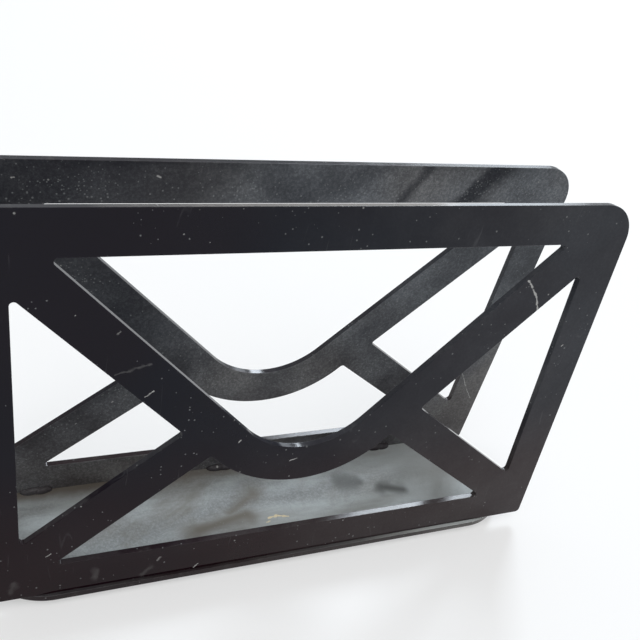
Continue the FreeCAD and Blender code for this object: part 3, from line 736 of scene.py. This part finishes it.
def floor_stains_and_painted_light(tree, where, part, colour):
    """Dried water and dirt on the floor plate: long clouds, a dirty corner that is also painted
    shade, a painted sheen towards the right end, painted shadows and a fibre.
    """
    def stretched(turn, scale):
        """A vector for a pattern that is drawn out along the sorter."""
        return add(tree, "Mapping", {"Vector": where, "Rotation": (0.0, 0.0, turn), "Scale": scale})

    pale = noise(tree, stretched(0.12, (16.0, 62.0, 30.0)), scale=1.0, detail=5.0, roughness=0.6)
    pale = times(tree, spread(tree, pale, (0.36, 0.66)), part)
    colour = blend(tree, times(tree, pale, 0.72), colour, PALE_STAIN)
    brown = noise(tree, where, scale=21.0, detail=5.0, roughness=0.6, Distortion=1.4)
    brown = spread(tree, brown, (0.48, 0.70))
    streak = noise(tree, stretched(0.45, (15.0, 70.0, 30.0)), scale=1.0, detail=4.0, roughness=0.6)
    streak = spread(tree, streak, (0.48, 0.70))
    brown = times(tree, calc(tree, "MAXIMUM", brown, times(tree, streak, 0.7)), part)
    colour = blend(tree, times(tree, brown, 0.75), colour, BROWN_STAIN)
    place = axes(tree, where)
    # Dirt by the back panel's foot, darker towards the left, which is also painted shade and a
    # painted reflection of the dark panel.
    sweep = noise(tree, where, scale=60.0, detail=4.0, roughness=0.6)
    swept = plus(tree, place["Y"], times(tree, sweep, 0.007))
    corner = times(tree, spread(tree, swept, CORNER_DIRT_AND_SHADE_SIDE), part)
    corner = times(tree, corner, spread(tree, place["X"], CORNER_DIRT_AND_SHADE_RUN, (0.35, 0.85)))
    colour = blend(tree, corner, colour, CORNER_DIRT_AND_SHADE)
    # Painted sheen: the plate's middle grows lighter towards the right end.
    right = times(tree, spread(tree, place["X"], PAINTED_SHEEN_RUN, (0.0, 0.6)), part)
    colour = blend(tree, right, colour, RIGHT_PAINTED_SHEEN)
    # Painted shadows: the two dark patches towards the right end; then brown earth and a fibre.
    for rows, shade in ((FLOOR_PAINTED_SHADOWS, PAINTED_SHADOW), (FLOOR_CLOUDS, EARTH), (FLOOR_FIBRE, FIBRE)):
        mask = marks_along(tree, where, placed_marks(rows, on_floor))
        colour = blend(tree, mask, colour, shade)
    return colour


def rubber():
    """Moulded rubber: near black, matt, with a fine mould grain and pale dust in its clouds."""
    material, tree, shader, where = new_material("foot_rubber")
    film = use_group(tree, DUST, {"Vector": where, "Scale": 120.0, "Grain": 1600.0, "Patchy": 0.6,
                                  "Contrast": 1.0, "Amount": 0.22})
    tone = spread(tree, noise(tree, where, scale=90.0, detail=3.0), (0.35, 0.65))
    colour = blend(tree, tone, RUBBER_DARK, RUBBER_LIGHT)
    tree.links.new(blend(tree, film, colour, RUBBER_DUST), shader.inputs["Base Color"])
    rough = spread(tree, noise(tree, where, scale=700.0, detail=3.0), (0.3, 0.7), (0.62, 0.85))
    tree.links.new(rough, shader.inputs["Roughness"])
    grain = plus(tree, noise(tree, where, scale=2400.0), noise(tree, where, scale=500.0))
    add_relief(tree, shader, grain, RUBBER_RELIEF)
    return material


def adhesive():
    """Foam adhesive: off-white with tiny cells that are darker in their hollows, a painted shade,
    and a yellowed edge.
    """
    material, tree, shader, where = new_material("foot_adhesive")
    cells = add(tree, "TexVoronoi", {"Vector": where, "Scale": 3200.0})
    tone = spread(tree, noise(tree, where, scale=260.0, detail=3.0), (0.35, 0.68))
    colour = blend(tree, tone, FOAM, FOAM_YELLOW)
    # Painted shade: the cells' hollows are darker.
    pit_shade = spread(tree, cells, (0.15, 0.4), (0.35, 0.0))
    tree.links.new(blend(tree, pit_shade, colour, FOAM_PIT_SHADE), shader.inputs["Base Color"])
    rough = spread(tree, noise(tree, where, scale=900.0), (0.3, 0.7), (0.5, 0.75))
    tree.links.new(rough, shader.inputs["Roughness"])
    add_relief(tree, shader, cells, FOAM_RELIEF)
    return material


# ---------------------------------------------------------------------------------------------
# The pieces
# ---------------------------------------------------------------------------------------------
def dress(piece, material, node):
    """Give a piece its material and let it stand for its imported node."""
    piece.data.materials.append(material)
    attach(piece, "root")
    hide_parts(node)


def on_face(side, depth=0.0):
    """Points of a panel's outer face, or further into the sheet, by height above the table."""
    def to_frame(across, height):
        up = (height - FLOOR_TOP - SHEET * math.sin(LEAN)) / math.cos(LEAN)
        out = PANEL_OFFSET - up * math.sin(LEAN) - depth * math.cos(LEAN)
        return across, side * out, height
    return to_frame


# Where the front panel's paint is marked: a cracked scratch over the right flap band, flakes and
# crumbs on the flap, scuffs, and smears that a hand left. Each row is width, fray, softness,
# strength and then the two ends of each stretch.
FRONT_MARKS = placed_marks([
    (0.42, 1.1, 0.4, 0.78, [(59.0, 97.4, 61.6, 95.4), (61.6, 95.4, 65.2, 90.8),
                            (65.2, 90.8, 66.8, 87.0)]),
    (0.26, 0.9, 0.4, 0.8, [(-71.9, 18.8, -70.4, 19.7), (-22.5, 58.8, -22.1, 59.1),
                           (-20.6, 50.6, -19.6, 51.7), (-47.3, 69.0, -45.0, 70.6),
                           (-29.3, 4.8, -27.9, 6.0), (-3.9, 42.0, -1.8, 42.6),
                           (-64.7, 93.2, -64.4, 93.4), (81.0, 73.8, 81.4, 74.1)]),
    (0.5, 1.6, 0.0, 0.34, [(-40.6, 10.6, -39.8, 11.5), (-54.4, 88.0, -54.0, 88.3)]),
    (0.55, 1.6, 0.0, 0.12, [(-55.2, 76.3, -46.0, 78.8)]),
    (2.2, 3.4, 0.0, 0.085, [(-81.0, 7.0, -80.4, 10.8), (-58.4, 7.8, -57.9, 10.2),
                            (-44.6, 5.8, -42.4, 7.6)]),
    (0.5, 1.0, 0.2, 0.30, [(-67.4, 106.4, -63.2, 100.9)]),
], on_face(-1))

# On the back panel's inner face: a long scratch at the right end, and a few crumbs.
BACK_MARKS = placed_marks([
    (0.24, 0.9, 0.4, 0.7, [(78.4, 38.2, 80.6, 34.6), (80.6, 34.6, 83.2, 30.4),
                           (83.2, 30.4, 87.0, 24.9)]),
    (0.34, 0.8, 0.3, 0.7, [(-48.5, 39.9, -48.2, 40.2), (-59.3, 32.2, -59.0, 32.4),
                           (-75.5, 114.4, -75.0, 114.5), (-40.8, 115.0, -40.2, 114.7)]),
], on_face(1, SHEET))

# Slanting strokes where the back panel's dusty film is thinned and darker, a painted reflection,
# and a thinner band along its top at the left.
BACK_REFLECTION_STREAKS = placed_marks([
    (5.5, 4.0, 0.1, 0.60, [(29.0, 105.0, 37.0, 118.0)]),
    (9.5, 4.0, 0.2, 0.78, [(50.0, 104.0, 60.5, 119.0)]),
    (3.0, 5.0, 0.0, 0.35, [(-66.0, 119.0, -20.0, 119.0)]),
], on_face(1, SHEET))

# Painted glints: two bright places on the back's middle weld, as marks_along takes them.
WELD_PAINTED_GLINTS = [((-13.0, 17.9, 5.6), (-12.6, 18.4, 6.6), 0.42, 0.5, 0.3, 0.9),
              ((-10.6, 17.6, 6.0), (-10.2, 18.2, 7.4), 0.55, 0.5, 0.3, 0.95)]

edge_profile = sheet_profile(SHEET, ROLL_REACH, ROLL_DEPTH, RIM)
envelope = envelope_outlines()
paints = {"front": gloss_paint("front_panel_paint", marks=FRONT_MARKS),
          "back": gloss_paint("back_panel_paint", marks=BACK_MARKS, reflection_streaks=BACK_REFLECTION_STREAKS)}
# The floor plate's ledge and right-end edges carry a painted highlight.
floor_paint = gloss_paint("floor_plate_paint", dusty=1.45, dull=0.36, patchy=0.12, specks=0.6,
                          contrast=0.28, cool_dust=FLOOR_COOL_DUST, warm_dust=FLOOR_WARM_DUST,
                          dust_and_highlight_part=middle_and_ledge_highlight, stains_and_painted_light=floor_stains_and_painted_light, gather=False,
                          edge=(0.02, 0.34))
# The welds' marks are painted glints.
weld_paint = gloss_paint("weld_paint", clean=(0.50, 0.66), specks=0.3, smooth=0.04,
                         marks=WELD_PAINTED_GLINTS)

for name, side in SIDES.items():
    panel = make_sheet(f"{name}_envelope_sheet", envelope, edge_profile, panel_place(side))
    dress(panel, paints[name], f"{name}_panel")
    for number, (step, middle) in enumerate(WELD_STEPS.items()):
        seed = number + 3 * side + FIRST_WELD_SEED
        dress(make_weld(f"{name}_tack_{step}", middle, side, seed), weld_paint,
              f"{name}_weld_{step}")

floor_corners = [(-FLOOR_HALF_LENGTH, -FLOOR_HALF_DEPTH), (FLOOR_HALF_LENGTH, -FLOOR_HALF_DEPTH),
                 (FLOOR_HALF_LENGTH, FLOOR_HALF_DEPTH), (-FLOOR_HALF_LENGTH, FLOOR_HALF_DEPTH)]
floor_outline = rounded_outline(floor_corners, [FLOOR_RADIUS] * 4)
dress(make_sheet("floor_sheet", [floor_outline], edge_profile, floor_place, dusty_first=True),
      floor_paint, "floor_plate")

finishes = {"foot": rubber(), "adhesive": adhesive()}
for name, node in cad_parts.items():
    finish = finishes.get(name.split("_")[-1])
    if finish:
        for socket in node.material_slots:
            socket.material = finish


# ---------------------------------------------------------------------------------------------
# Stage, light and camera
# ---------------------------------------------------------------------------------------------
def aim(thing, target):
    """Turn a lamp towards a point."""
    way = np.array(target) - np.array(thing.location)
    flat = math.hypot(way[0], way[1])
    thing.rotation_euler = (math.atan2(flat, -way[2]), 0.0, math.atan2(-way[0], way[1]))


def softbox(name, azimuth, elevation, distance, width, height, radiance, colour):
    """An area lamp seen from the object at an azimuth from +Y towards +X, and an elevation."""
    lamp = bpy.data.lights.new(name, "AREA")
    lamp.shape, lamp.size, lamp.size_y = "RECTANGLE", width, height
    lamp.energy = radiance * math.pi * width * height
    lamp.color = colour
    placed = bpy.data.objects.new(name, lamp)
    a, e = math.radians(azimuth), math.radians(elevation)
    placed.location = (distance * math.sin(a) * math.cos(e), distance * math.cos(a) * math.cos(e),
                       distance * math.sin(e) + AIM_HEIGHT)
    bpy.context.scene.collection.objects.link(placed)
    aim(placed, (0.0, 0.0, AIM_HEIGHT))


def make_stage():
    """A plain pale floor, wide enough to fill the frame."""
    mesh = bpy.data.meshes.new("table_top")
    corners = [(across * TABLE_REACH, deep * TABLE_REACH, 0)
               for across, deep in ((-1, -1), (1, -1), (1, 1), (-1, 1))]
    mesh.from_pydata(corners, [], [(0, 1, 2, 3)])
    top = bpy.data.objects.new("table_top", mesh)
    bpy.context.scene.collection.objects.link(top)
    material, tree, shader, where = new_material("pale_table")
    shade = blend(tree, noise(tree, where, scale=3.0), TABLE_DIM, TABLE_LIGHT)
    tree.links.new(shade, shader.inputs["Base Color"])
    shader.inputs["Roughness"].default_value = 0.9
    ray = add(tree, "LightPath").node.outputs
    seen = calc(tree, "MAXIMUM", ray["Is Camera Ray"], ray["Is Glossy Ray"])
    white = add(tree, "Emission", {"Color": (*WHITE, 1.0)})
    whitened = add(tree, "MixShader", {0: times(tree, seen, TABLE_WHITENING),
                                       1: shader.outputs[0], 2: white})
    tree.links.new(whitened, tree.nodes["Material Output"].inputs["Surface"])
    mesh.materials.append(material)


def light_world():
    """A pale world that is brighter towards the window."""
    world = bpy.data.worlds.new("studio")
    bpy.context.scene.world = world
    world.use_nodes = True
    tree = world.node_tree
    background = tree.nodes["Background"].inputs
    way = add(tree, "TexCoord", output="Generated")
    toward_window = add(tree, "VectorMath", {0: way, 1: SKY_WAY}, "Value", operation="DOT_PRODUCT")
    tree.links.new(spread(tree, toward_window, SKY_LIMITS, SKY_STRENGTHS), background["Strength"])
    background["Color"].default_value = (*SKY, 1.0)


def place_camera():
    """The camera at the photograph's viewing angle."""
    camera = bpy.data.cameras.new("photo_camera")
    camera.sensor_width, camera.lens = FILM_WIDTH, LENS
    camera.shift_x, camera.shift_y = SHIFT
    viewer = bpy.data.objects.new("photo_camera", camera)
    viewer.location = VIEWPOINT
    viewer.rotation_euler = [math.radians(angle) for angle in VIEW_TURN]
    bpy.context.scene.collection.objects.link(viewer)
    bpy.context.scene.camera = viewer


make_stage()
for name, values in LAMPS.items():
    softbox(name, *values)
light_world()
place_camera()
bpy.context.scene.view_settings.view_transform = "Standard"
